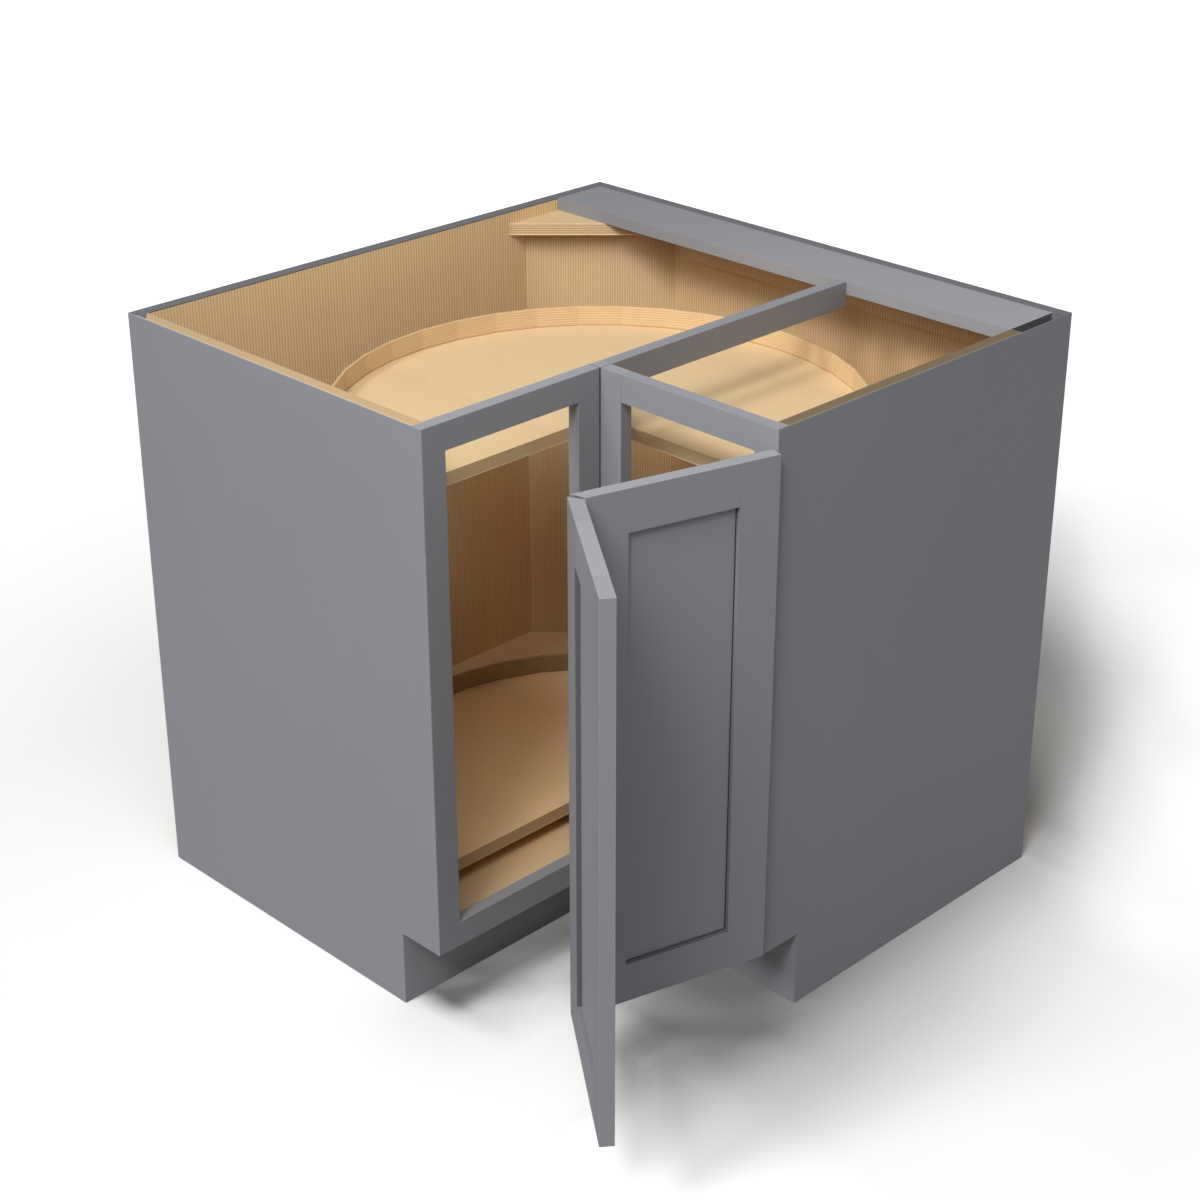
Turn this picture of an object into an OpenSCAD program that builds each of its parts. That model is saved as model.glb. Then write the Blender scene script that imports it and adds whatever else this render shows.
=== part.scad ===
// Corner carousel cabinet: L-shaped base unit with two pie-cut turning trays and a folding pair of frame-and-panel doors.
// Millimetres, +Z up. The row origin is the room corner at the floor: the cabinet fills the -X, -Y quadrant.
// Inside the modules the plan is drawn from the front corner of the square that holds the L, and place() moves it.

/* [Cabinet body] */
// Length of each back wall, outside
body_w = 914.4; // [840:0.1:990]
// Width of each short front, outside end to inner corner
front_w = 304.8; // [280:0.1:340]
// Height over all
body_h = 876.3; // [820:0.1:940]
// Thickness of the carcass panels and of the face frames
board_t = 19.05; // [15:0.05:22]
// Thickness of the grey finishing sheet on the two end panels
skin_t = 1.5; // [0.8:0.1:3]
// Thickness of the grey strip on top of the two back walls
cap_t = 2; // [1:0.1:4]
// Width of the face frame members
frame_w = 38.1; // [32:0.1:50]
// Height of the toe kick
toe_h = 114.3; // [80:0.1:150]
// Depth of the toe kick recess behind the face frames
toe_back = 76.2; // [50:0.1:90]
// Width of the flat rail over the right back wall
rail_w = 95.25; // [70:0.05:120]
// Plan sum x+y on the face of the diagonal back-corner panel
diag_sum = 1624.3; // [1600:0.1:1680]
// Thickness of the diagonal panel
diag_t = 12.7; // [9:0.1:19]
// Length of each short side of the corner brace
brace_a = 200.65; // [150:0.05:260]
// Height of the two wall nailers
nailer_h = 50.8; // [40:0.1:60]

/* [Doors] */
// Door thickness
door_t = 19.05; // [18:0.05:20]
// Gap between the closed doors and the face frames
door_gap = 2.03; // [1.8:0.01:3]
// Height of the doors' lower edge
door_z = 127; // [122:0.1:135]
// Door height
door_h = 723.9; // [700:0.1:730]
// Width of the doors' stiles and rails
shaker_w = 57.15; // [45:0.05:70]
// Thickness of the doors' panels
panel_t = 6.35; // [5:0.05:9]
// Width of the fine groove round each panel
groove_w = 2; // [1:0.1:3]
// Depth of that groove
groove_d = 2.4; // [0.5:0.1:2.6]
// Distance of the hinged door's end from the right end of the cabinet
end_a = 14; // [13:0.1:18]
// Distance of the free door's end from the left end of the cabinet
end_b = 21.6; // [15:0.1:30]
// Opening angle of the hinged door as drawn
door_open = 74.3; // [0:0.1:105]
// Degrees the second door folds for each degree the first opens
fold_ratio = 0.2894; // [0.25:0.0001:0.29]

/* [Carousel] */
// Distance of the tray axis from both outer front planes, in plan
axis_xy = 401.32; // [398:0.01:410]
// Tray radius outside its rim
tray_r = 368.3; // [340:0.1:370]
// Thickness of the tray boards
tray_t = 19.05; // [15:0.05:20]
// Thickness of the bent rims
rim_t = 3.2; // [2.5:0.1:6]
// Height of the rims over the boards
rim_h = 29.7; // [20:0.1:36]
// How far the two notch edges stand in front of the tray axis
notch_off = 4.32; // [3:0.01:8]
// Height of the upper tray's surface
upper_z = 758.19; // [740:0.01:762]
// Height of the lower tray's surface
lower_z = 175.26; // [172:0.01:190]
// Radius of the centre post
post_r = 12.7; // [12:0.1:14]
// Height of the top of the post
post_top = 820; // [815:0.1:826]

/* [Hidden] */
$fn = 48;
W = body_w;
T = board_t;
F0 = front_w;              // plane of both face frame fronts
F1 = front_w + board_t;    // plane of both face frame backs
IN = W - board_t;          // inner planes of both back walls
H = body_h;
FZ = toe_h + board_t;      // top of the cabinet floor
OPEN_Z0 = toe_h + frame_w;
OPEN_Z1 = H - frame_w;
TOE = F0 + toe_back;
RAIL_X = IN - rail_w;
brace_z = H - 2 * T;
grey = [0.49, 0.50, 0.52];
grey_d = [0.42, 0.43, 0.45];
maple = [0.86, 0.72, 0.53];
maple_d = [0.78, 0.63, 0.44];
steel = [0.72, 0.73, 0.75];
steel_d = [0.50, 0.51, 0.53];
poly = [0.85, 0.85, 0.83];
// doors, drawn closed: door A stands against the plane x = F0, door B is its mirror about the line x = y
BK = F0 - door_gap;            // back plane of a closed door
FT = BK - door_t;              // front plane of a closed door
bevel = 27;
fold_y = 282.70;               // front corner of the fold end
fold_yb = fold_y + door_t * tan(bevel);
FX = 286.77;                   // fold axis, on the line x = y
QX = F0 + 2.54;                // hinge axis
QY = 8.38;
ring_r = 2.8;
hpin_r = 1.5;
hinge_h = 60;
hinge_zs = [190, 660];
hinge_cut = 5.9;
fring_r = 2.6;
fpin_r = 1.3;
fbite = 3.0;
fold_n = 20;
fold_p = door_h / fold_n;
fold_s = 4.566;                // its distance behind the front corner, along that face
// screws
s_r = 1.6;
s_head = 3.3;
s_hh = 1.9;

module place() { translate([-W, -W, 0]) children(); }
module box(x0, x1, y0, y1, z0, z1) { translate([x0, y0, z0]) cube([x1 - x0, y1 - y0, z1 - z0]); }
module swapxy() { mirror([1, -1, 0]) children(); }
module open_a() { translate([QX, QY, 0]) rotate([0, 0, door_open]) translate([-QX, -QY, 0]) children(); }
module open_b() { open_a() translate([FX, FX, 0]) rotate([0, 0, -door_open * fold_ratio]) translate([-FX, -FX, 0]) children(); }

// countersunk screw with its head's top at the origin, pointing to -Z
module screw(l) {
  difference() {
    union() {
      translate([0, 0, -s_hh]) cylinder(h = s_hh, r1 = s_r, r2 = s_head);
      translate([0, 0, -l]) cylinder(h = l - s_hh, r = s_r);
    }
    translate([-1.9, -0.35, -0.9]) cube([3.8, 0.7, 2]);
    translate([-0.35, -1.9, -0.9]) cube([0.7, 3.8, 2]);
  }
}
// the hole a screw leaves in the plate (countersunk) and in the wood
module screw_hole(l) {
  translate([0, 0, -s_hh]) cylinder(h = s_hh, r1 = s_r, r2 = s_head);
  translate([0, 0, -l]) cylinder(h = l - s_hh, r = s_r);
}

// ---------- carcass ----------
// an end panel with its toe kick notch, drawn in the y-z plane
module side_plate(t0, t1, front, toe, back) {
  translate([t0, 0, 0]) rotate([90, 0, 90]) linear_extrude(height = t1 - t0)
    polygon([[toe, 0], [back, 0], [back, H], [front, H], [front, toe_h], [toe, toe_h]]);
}
module side_left() { color(maple) place() side_plate(skin_t, T, F1, TOE + T, IN); }
module skin_left() { color(grey) place() side_plate(0, skin_t, F0, TOE, W); }
// the right end panel is let down under the end of the flat rail
module side_right() {
  color(maple) place() difference() {
    swapxy() side_plate(skin_t, T, F1, TOE + T, IN);
    box(RAIL_X, IN + 1, skin_t - 1, T + 1, H - T, H + 1);
  }
}
module skin_right() { color(grey) place() swapxy() side_plate(0, skin_t, F0, TOE, W); }

wl_screw_x = [50.8, 457.2];
wl_screw_z = 203.2;
wr_screw_y = [152.4, 558.8];
wr_screw_z = 831.85;
module holes_left() {
  for (x = wl_screw_x) translate([x, IN - T - 1, wl_screw_z]) rotate([-90, 0, 0]) cylinder(h = 2 * T + 2, r = 2.5);
}
module holes_right() {
  for (y = wr_screw_y) translate([IN - T - 1, y, wr_screw_z]) rotate([0, 90, 0]) cylinder(h = 2 * T + 2, r = 2.5);
}
module wall_left() { color(maple_d) place() difference() { box(skin_t, W, IN, W, 0, H - cap_t); holes_left(); } }
module wall_right() { color(maple_d) place() difference() { box(IN, W, skin_t, IN, 0, H - cap_t); holes_right(); } }
module wall_caps() {
  color(grey_d) place() translate([0, 0, H - cap_t]) linear_extrude(height = cap_t) polygon([[skin_t, IN], [IN, IN], [IN, skin_t], [W, skin_t], [W, W], [skin_t, W]]);
}
module nailer_left() { color(maple) place() difference() { box(T, 495.3, IN - T, IN, wl_screw_z - nailer_h / 2, wl_screw_z + nailer_h / 2); holes_left(); } }
module nailer_right() { color(maple) place() difference() { box(IN - T, IN, T, IN - brace_a - 6, H - T - nailer_h, H - T); holes_right(); } }
module diagonal_panel() {
  d = diag_t * sqrt(2);
  color(maple_d) place() translate([0, 0, FZ]) linear_extrude(height = brace_z - FZ)
    polygon([[diag_sum - IN, IN], [diag_sum - IN + d, IN], [IN, diag_sum - IN + d], [IN, diag_sum - IN]]);
}
module corner_brace() {
  color(maple) place() translate([0, 0, brace_z]) linear_extrude(height = T)
    polygon([[IN, IN], [IN - brace_a, IN], [IN, IN - brace_a]]);
}
module top_rail_flat() { color(grey) place() box(RAIL_X, IN, T, IN, H - T, H); }
module stretcher() { color(grey) place() box(F1, RAIL_X, F0, F1, OPEN_Z1, H); }

// ---------- face frames ----------
module fl_top() { box(skin_t, F0 - frame_w, F0, F1, OPEN_Z1, H); }
module fl_bottom() { box(frame_w, F0 - frame_w, F0, F1, toe_h, OPEN_Z0); }
module fl_outer() { box(skin_t, frame_w, F0, F1, toe_h, OPEN_Z1); }
module bracket_screw_at() {
  for (z = [801, 822]) translate([297, F1 + 3, z]) rotate([-90, 0, 0]) children();
}
module fl_inner() {
  difference() {
    box(F0 - frame_w, F0, F0, F1, toe_h, H);
    bracket_screw_at() screw_hole(17);
  }
}
module frame_left_outer_stile() { color(grey) place() fl_outer(); }
module frame_left_inner_stile() { color(grey) place() fl_inner(); }
module frame_left_top_rail() { color(grey) place() fl_top(); }
module frame_left_bottom_rail() { color(grey) place() fl_bottom(); }
module frame_right_outer_stile() {
  color(grey) place() difference() {
    swapxy() fl_outer();
    for (z = hinge_zs) {
      translate([QX, QY, z - 0.3]) cylinder(h = hinge_h + 0.6, r = ring_r + 0.2);
      translate([QX, QY, z + 19.7]) cylinder(h = 20.6, r = hinge_cut);
      box(F0 - 1, F0 + 1.2, QY, 30, z, z + hinge_h);
    }
    frame_screw_at() screw_hole(13);
  }
}
module frame_right_inner_stile() { color(grey) place() swapxy() fl_inner(); }
module frame_right_top_rail() { color(grey) place() swapxy() fl_top(); }
module frame_right_bottom_rail() { color(grey) place() swapxy() fl_bottom(); }
module frame_corner_post() { color(grey) place() box(F0, F1, F0, F1, toe_h, H); }
module toe_kick_left() { color(grey) place() box(skin_t, TOE + T, TOE, TOE + T, 0, toe_h); }
module toe_kick_right() { color(grey) place() box(TOE, TOE + T, skin_t, TOE, 0, toe_h); }
module foot_screw_at() {
  for (a = [0:3]) rotate([0, 0, 45 + 90 * a]) translate([36, 0, FZ + 4]) children();
}
module floor_panel() {
  color(maple) place() difference() {
    translate([0, 0, toe_h]) linear_extrude(height = T) polygon([[T, F1], [F1, F1], [F1, T], [IN, T], [IN, IN], [T, IN]]);
    translate([axis_xy, axis_xy, 0]) foot_screw_at() screw_hole(17);
  }
}

// ---------- carousel ----------
module axle() { place() translate([axis_xy, axis_xy, 0]) children(); }
module tube(r0, r1, z0, z1) {
  translate([0, 0, z0]) difference() {
    cylinder(h = z1 - z0, r = r1);
    translate([0, 0, -1]) cylinder(h = z1 - z0 + 2, r = r0);
  }
}
bore_r = post_r + 0.05;
lower_b = lower_z - tray_t;
upper_b = upper_z - tray_t;
module center_post() {
  color(steel) axle() translate([0, 0, FZ]) rotate_extrude()
    polygon([[0, 0], [post_r - 1, 0], [post_r, 1], [post_r, post_top - FZ - 1.5], [post_r - 1.5, post_top - FZ], [0, post_top - FZ]]);
}
module post_foot() {
  color(steel_d) axle() difference() {
    translate([0, 0, FZ]) rotate_extrude()
      polygon([[bore_r, 0], [48, 0], [48, 3], [47, 4], [22, 4], [20, 6], [20, 10], [bore_r, 10]]);
    foot_screw_at() screw_hole(17);
  }
}
module thrust_washers() {
  color(poly) axle() { tube(bore_r, 21, FZ + 10, FZ + 14); tube(bore_r, 21, upper_b - 15.44, upper_b - 11.44); }
}
col_z0 = upper_b - 35.44;
module upper_collar() {
  color(steel_d) axle() difference() {
    tube(bore_r, 23, col_z0, col_z0 + 20);
    translate([bore_r - 1, 0, col_z0 + 10]) rotate([0, 90, 0]) cylinder(h = 14, r = 2.5);
  }
}
module collar_screw() {
  color(steel) axle() translate([bore_r, 0, col_z0 + 10]) rotate([0, 90, 0]) difference() {
    cylinder(h = 9.4, r = 2.5);
    translate([0, 0, 6.9]) cylinder(h = 3, r = 1.3, $fn = 6);
  }
}
module head_bracket() {
  color(steel_d) place() difference() {
    union() {
      translate([axis_xy, axis_xy, 796]) cylinder(h = 24, r = 19);
      translate([axis_xy, axis_xy, 806]) rotate([0, 0, 225]) translate([0, -12, 0]) cube([106.8, 24, 5]);
      box(283, F1 + 3, F1, F1 + 3, 793, 830);
      box(F1, F1 + 3, 283, F1 + 3, 793, 830);
    }
    translate([axis_xy, axis_xy, 790]) cylinder(h = 40, r = bore_r);
    box(280, F1, 280, F1, 780, 840);
    bracket_screw_at() screw_hole(17);
    swapxy() bracket_screw_at() screw_hole(17);
  }
}
// the four screws of the foot and the four of the head bracket are alike
module carousel_screws() {
  color(steel) place() {
    translate([axis_xy, axis_xy, 0]) foot_screw_at() screw(17);
    bracket_screw_at() screw(17);
    swapxy() bracket_screw_at() screw(17);
  }
}

// trays: a 36-sided disc without the quarter that faces the inner corner
module notch2d(o) { translate([-500 - o, -500 - o]) square([500, 500]); }
module disc2d(r) { polygon([for (i = [0:35]) r * [cos(10 * i), sin(10 * i)]]); }
module hub_screw_at(zb) {
  for (a = [-40, 17, 73, 130]) rotate([0, 0, a]) translate([72, 0, zb - 4]) rotate([180, 0, 0]) children();
}
module tray_board(zt) {
  difference() {
    translate([0, 0, zt - tray_t]) linear_extrude(height = tray_t) difference() {
      disc2d(tray_r - rim_t);
      notch2d(notch_off);
      circle(r = 20);
    }
    hub_screw_at(zt - tray_t) screw_hole(16);
  }
}
module tray_rim(zt) {
  translate([0, 0, zt - tray_t]) linear_extrude(height = tray_t + rim_h, convexity = 6) difference() {
    disc2d(tray_r);
    disc2d(tray_r - rim_t);
    notch2d(notch_off);
  }
}
module hub(zb, z0, z1) {
  difference() {
    union() {
      translate([0, 0, z0]) cylinder(h = z1 - z0, r = 18);
      translate([0, 0, zb - 4]) linear_extrude(height = 4) difference() { circle(r = 86); notch2d(-26); }
      translate([0, 0, zb - 4]) cylinder(h = 4, r = 32);
    }
    translate([0, 0, z0 - 1]) cylinder(h = z1 - z0 + 2, r = bore_r);
    hub_screw_at(zb) screw_hole(16);
  }
}
module lower_tray_board() { color(maple) axle() tray_board(lower_z); }
module lower_tray_rim() { color(maple_d) axle() tray_rim(lower_z); }
module lower_hub() { color(steel_d) axle() hub(lower_b, FZ + 14.3, lower_b + 40); }
module lower_hub_screws() { color(steel) axle() hub_screw_at(lower_b) screw(16); }
module upper_tray_board() { color(maple) axle() tray_board(upper_z); }
module upper_tray_rim() { color(maple_d) axle() tray_rim(upper_z); }
module upper_hub() { color(steel_d) axle() hub(upper_b, upper_b - 11.14, upper_b + 40); }
module upper_hub_screws() { color(steel) axle() hub_screw_at(upper_b) screw(16); }

// ---------- doors, drawn closed on the plane x = F0, y from end to the fold ----------
PX = (FT + BK) / 2;
door_z1 = door_z + door_h;
in_y1 = fold_y - shaker_w;
module panel_box(e, m) {
  // the panel, m mm into the grooves of its frame
  box(PX - panel_t / 2, PX + panel_t / 2, e + shaker_w - m, in_y1 + m, door_z + shaker_w - m, door_z1 - shaker_w + m);
}
module panel(e) {
  difference() {
    panel_box(e, 8);
    for (s = [0, 1]) translate([s == 0 ? PX - panel_t / 2 - 1 : PX + panel_t / 2 - groove_d, 0, 0]) difference() {
      box(0, groove_d + 1, e + shaker_w - 0.01, in_y1 + 0.01, door_z + shaker_w - 0.01, door_z1 - shaker_w + 0.01);
      box(-1, groove_d + 2, e + shaker_w + groove_w, in_y1 - groove_w, door_z + shaker_w + groove_w, door_z1 - shaker_w - groove_w);
    }
  }
}
module end_stile(e) {
  difference() { box(FT, BK, e, e + shaker_w, door_z, door_z1); panel_box(e, 8); }
}
module rail(e, z0) {
  difference() { box(FT, BK, e + shaker_w, in_y1, z0, z0 + shaker_w); panel_box(e, 8); }
}
module fold_stile(e) {
  difference() {
    translate([0, 0, door_z]) linear_extrude(height = door_h)
      polygon([[FT, in_y1], [BK, in_y1], [BK, fold_yb], [FT, fold_y]]);
    panel_box(e, 8);
    translate([FX, FX, door_z - 1]) cylinder(h = door_h + 2, r = fbite);
    fold_screw_at() screw_hole(11);
  }
}
// frame of the fold end face: x along the face towards the back, y out of the face, z up
module on_fold_face() { translate([FT, fold_y, 0]) rotate([0, 0, bevel]) children(); }
fold_screw_zs = [door_z + 1.5 * fold_p, door_z + 5.5 * fold_p, door_z + 10 * fold_p, door_z + 14.5 * fold_p, door_z + 18.5 * fold_p];
module fold_screw_at() {
  for (z = fold_screw_zs) on_fold_face() translate([fold_s + 9, 1, z]) rotate([-90, 0, 0]) children();
}
module fold_leaf(odd) {
  difference() {
    union() {
      on_fold_face() box(fold_s + 2.75, fold_s + 15, 0, 1, door_z, door_z1);
      for (i = [odd:2:fold_n - 1]) {
        on_fold_face() box(fold_s, fold_s + 3, 0.05, 0.85, door_z + i * fold_p + 0.15, door_z + (i + 1) * fold_p - 0.15);
        translate([FX, FX, door_z + i * fold_p + 0.15]) cylinder(h = fold_p - 0.3, r = fring_r, $fn = 24);
      }
    }
    translate([FX, FX, door_z - 1]) cylinder(h = door_h + 2, r = fpin_r + 0.05);
    fold_screw_at() screw_hole(11);
  }
}

module frame_screw_at() {
  for (z = hinge_zs, k = [10, 50]) translate([F0, 24, z + k]) rotate([0, -90, 0]) children();
}
module door_screw_at() {
  for (z = hinge_zs, k = [10, 50]) translate([BK + 1.2, 27, z + k]) rotate([0, 90, 0]) children();
}
module hinge_leaves_frame() {
  color(steel) place() for (z = hinge_zs) difference() {
    union() {
      box(F0, F0 + 1.2, QY, 30, z, z + hinge_h);
      for (k = [0, 40.3]) translate([QX, QY, z + k]) cylinder(h = 19.7, r = ring_r);
    }
    translate([QX, QY, z - 1]) cylinder(h = hinge_h + 2, r = hpin_r + 0.05);
    translate([QX, QY, z + 19.7]) cylinder(h = 20.6, r = hinge_cut);
    frame_screw_at() screw_hole(13);
  }
}
module hinge_pins() {
  color(steel_d) place() for (z = hinge_zs) translate([QX, QY, z]) cylinder(h = hinge_h, r = hpin_r);
}
module hinge_screws_frame() { color(steel) place() frame_screw_at() screw(13); }
module hinge_leaves_door() {
  color(steel) place() open_a() for (z = hinge_zs) difference() {
    union() {
      box(BK, BK + 1.2, end_a, end_a + 21, z, z + hinge_h);
      translate([0, 0, z + 20]) linear_extrude(height = 20)
        polygon([[BK, end_a + 1], [BK, end_a], [QX - 2.6, QY - 1], [QX, QY - 1], [QX, QY + 1.6], [BK + 1.2, end_a - 2.2], [BK + 1.2, end_a + 1]]);
      translate([QX, QY, z + 20]) cylinder(h = 20, r = ring_r);
    }
    translate([QX, QY, z - 1]) cylinder(h = hinge_h + 2, r = hpin_r + 0.05);
    door_screw_at() screw_hole(13);
  }
}
module hinge_screws_door() { color(steel) place() open_a() door_screw_at() screw(13); }
module door_a_hinge_stile() {
  color(grey) place() open_a() difference() { end_stile(end_a); door_screw_at() screw_hole(13); }
}
module door_a_fold_stile() { color(grey) place() open_a() fold_stile(end_a); }
module door_a_top_rail() { color(grey) place() open_a() rail(end_a, door_z1 - shaker_w); }
module door_a_bottom_rail() { color(grey) place() open_a() rail(end_a, door_z); }
module door_a_panel() { color(grey_d) place() open_a() panel(end_a); }
module fold_leaf_a() { color(steel) place() open_a() fold_leaf(0); }
module fold_pin() { color(steel_d) place() open_a() translate([FX, FX, door_z]) cylinder(h = door_h, r = fpin_r); }
module fold_screws_a() { color(steel) place() open_a() fold_screw_at() screw(11); }
module door_b_fold_stile() { color(grey) place() open_b() swapxy() fold_stile(end_b); }
module door_b_free_stile() { color(grey) place() open_b() swapxy() end_stile(end_b); }
module door_b_top_rail() { color(grey) place() open_b() swapxy() rail(end_b, door_z1 - shaker_w); }
module door_b_bottom_rail() { color(grey) place() open_b() swapxy() rail(end_b, door_z); }
module door_b_panel() { color(grey_d) place() open_b() swapxy() panel(end_b); }
module fold_leaf_b() { color(steel) place() open_b() swapxy() fold_leaf(1); }
module fold_screws_b() { color(steel) place() open_b() swapxy() fold_screw_at() screw(11); }

side_left();
skin_left();
side_right();
skin_right();
wall_left();
wall_right();
wall_caps();
nailer_left();
nailer_right();
diagonal_panel();
corner_brace();
top_rail_flat();
stretcher();
frame_left_outer_stile();
frame_left_inner_stile();
frame_left_top_rail();
frame_left_bottom_rail();
frame_right_outer_stile();
frame_right_inner_stile();
frame_right_top_rail();
frame_right_bottom_rail();
frame_corner_post();
toe_kick_left();
toe_kick_right();
floor_panel();
center_post();
post_foot();
thrust_washers();
upper_collar();
collar_screw();
head_bracket();
carousel_screws();
hinge_leaves_frame();
hinge_pins();
hinge_screws_frame();
door_a_hinge_stile();
door_a_fold_stile();
door_a_top_rail();
door_a_bottom_rail();
door_a_panel();
hinge_leaves_door();
hinge_screws_door();
fold_leaf_a();
fold_pin();
fold_screws_a();
door_b_fold_stile();
door_b_free_stile();
door_b_top_rail();
door_b_bottom_rail();
door_b_panel();
fold_leaf_b();
fold_screws_b();
lower_tray_board();
lower_tray_rim();
lower_hub();
lower_hub_screws();
upper_tray_board();
upper_tray_rim();
upper_hub();
upper_hub_screws();
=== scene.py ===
import bpy
import bmesh
import math
from mathutils import Vector, Matrix

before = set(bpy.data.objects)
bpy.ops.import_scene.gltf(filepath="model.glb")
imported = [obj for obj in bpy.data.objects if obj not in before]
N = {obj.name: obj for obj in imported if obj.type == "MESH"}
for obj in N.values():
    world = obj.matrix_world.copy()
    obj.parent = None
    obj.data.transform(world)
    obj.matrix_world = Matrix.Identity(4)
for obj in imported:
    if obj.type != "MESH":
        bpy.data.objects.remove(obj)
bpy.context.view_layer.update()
INCH = 0.0254


# ------------------------------------------------------------------ helpers
class Tree:
    """A small wrapper to write shader graphs briefly."""

    def __init__(self, name):
        self.mat = bpy.data.materials.new(name)
        self.mat.use_nodes = True
        self.nt = self.mat.node_tree
        for n in list(self.nt.nodes):
            self.nt.nodes.remove(n)
        self.out = self.nt.nodes.new("ShaderNodeOutputMaterial")
        self.bsdf = self.nt.nodes.new("ShaderNodeBsdfPrincipled")
        self.link(self.bsdf.outputs["BSDF"], self.out.inputs["Surface"])

    def node(self, kind, **kw):
        n = self.nt.nodes.new(kind)
        for k, v in kw.items():
            setattr(n, k, v)
        return n

    def link(self, a, b):
        self.nt.links.new(a, b)

    def coord(self):
        return self.node("ShaderNodeTexCoord").outputs["Object"]

    def mapping(self, vec, scale=(1, 1, 1), rot=(0, 0, 0), loc=(0, 0, 0)):
        m = self.node("ShaderNodeMapping")
        m.inputs["Scale"].default_value = scale
        m.inputs["Rotation"].default_value = rot
        m.inputs["Location"].default_value = loc
        self.link(vec, m.inputs["Vector"])
        return m.outputs["Vector"]

    def noise(self, vec, scale=5.0, detail=4.0, rough=0.5, distortion=0.0):
        n = self.node("ShaderNodeTexNoise")
        n.inputs["Scale"].default_value = scale
        n.inputs["Detail"].default_value = detail
        n.inputs["Roughness"].default_value = rough
        n.inputs["Distortion"].default_value = distortion
        self.link(vec, n.inputs["Vector"])
        return n.outputs["Fac"]

    def wave(self, vec, scale=5.0, axis="X", distortion=0.0, detail=2.0, dscale=1.0, profile="SIN"):
        n = self.node("ShaderNodeTexWave", wave_type="BANDS", bands_direction=axis, wave_profile=profile)
        n.inputs["Scale"].default_value = scale
        n.inputs["Distortion"].default_value = distortion
        n.inputs["Detail"].default_value = detail
        n.inputs["Detail Scale"].default_value = dscale
        self.link(vec, n.inputs["Vector"])
        return n.outputs["Fac"]

    def ramp(self, fac, stops, interp="LINEAR"):
        n = self.node("ShaderNodeValToRGB")
        n.color_ramp.interpolation = interp
        els = n.color_ramp.elements
        while len(els) > 1:
            els.remove(els[-1])
        els[0].position, els[0].color = stops[0][0], self.col(stops[0][1])
        for p, c in stops[1:]:
            e = els.new(p)
            e.color = self.col(c)
        self.link(fac, n.inputs["Fac"])
        return n.outputs["Color"]

    @staticmethod
    def col(c):
        if isinstance(c, (int, float)):
            return (c, c, c, 1.0)
        return (c[0], c[1], c[2], 1.0)

    def math(self, op, a, b=None, c=None, clamp=False):
        n = self.node("ShaderNodeMath", operation=op, use_clamp=clamp)
        for i, v in enumerate((a, b, c)):
            if v is None:
                continue
            if isinstance(v, (int, float)):
                n.inputs[i].default_value = v
            else:
                self.link(v, n.inputs[i])
        return n.outputs["Value"]

    def mix(self, fac, a, b, blend="MIX"):
        n = self.node("ShaderNodeMix", data_type="RGBA", blend_type=blend)
        fi, ai, bi = n.inputs[0], n.inputs[6], n.inputs[7]
        for sock, v in ((fi, fac), (ai, a), (bi, b)):
            if isinstance(v, (int, float)) and sock is fi:
                sock.default_value = v
            elif isinstance(v, (tuple, list, int, float)):
                sock.default_value = self.col(v)
            else:
                self.link(v, sock)
        return n.outputs[2]

    def sep(self, vec):
        n = self.node("ShaderNodeSeparateXYZ")
        self.link(vec, n.inputs[0])
        return n.outputs

    def comb(self, x, y, z):
        n = self.node("ShaderNodeCombineXYZ")
        for i, v in enumerate((x, y, z)):
            if isinstance(v, (int, float)):
                n.inputs[i].default_value = v
            else:
                self.link(v, n.inputs[i])
        return n.outputs[0]

    def normal(self):
        return self.node("ShaderNodeNewGeometry").outputs["Normal"]

    def bump(self, height, strength=0.2, distance=0.001, prev=None):
        n = self.node("ShaderNodeBump")
        n.inputs["Strength"].default_value = strength
        n.inputs["Distance"].default_value = distance
        self.link(height, n.inputs["Height"])
        if prev is not None:
            self.link(prev, n.inputs["Normal"])
        return n.outputs["Normal"]

    def set(self, **kw):
        for k, v in kw.items():
            name = k.replace("_", " ")
            for s in self.bsdf.inputs:
                if s.name.lower() == name.lower():
                    if isinstance(v, (int, float)):
                        s.default_value = v
                    elif isinstance(v, (tuple, list)):
                        s.default_value = v
                    else:
                        self.link(v, s)


def srgb(r, g, b):
    """8-bit display values to linear."""
    def f(c):
        c /= 255.0
        return c / 12.92 if c <= 0.04045 else ((c + 0.055) / 1.055) ** 2.4
    return (f(r), f(g), f(b))


def scaled(c, k):
    return tuple(min(1.0, x * k) for x in c)


# ------------------------------------------------------------------ materials
GREY = srgb(141, 142, 147)
MAPLE = srgb(227, 197, 153)
MAPLE_D = srgb(196, 154, 107)
TAU = 2.0 * math.pi


def stretch(grain, k=0.03):
    return {"X": (k, 1.0, 1.0), "Y": (1.0, k, 1.0), "Z": (1.0, 1.0, k)}[grain]


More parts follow.
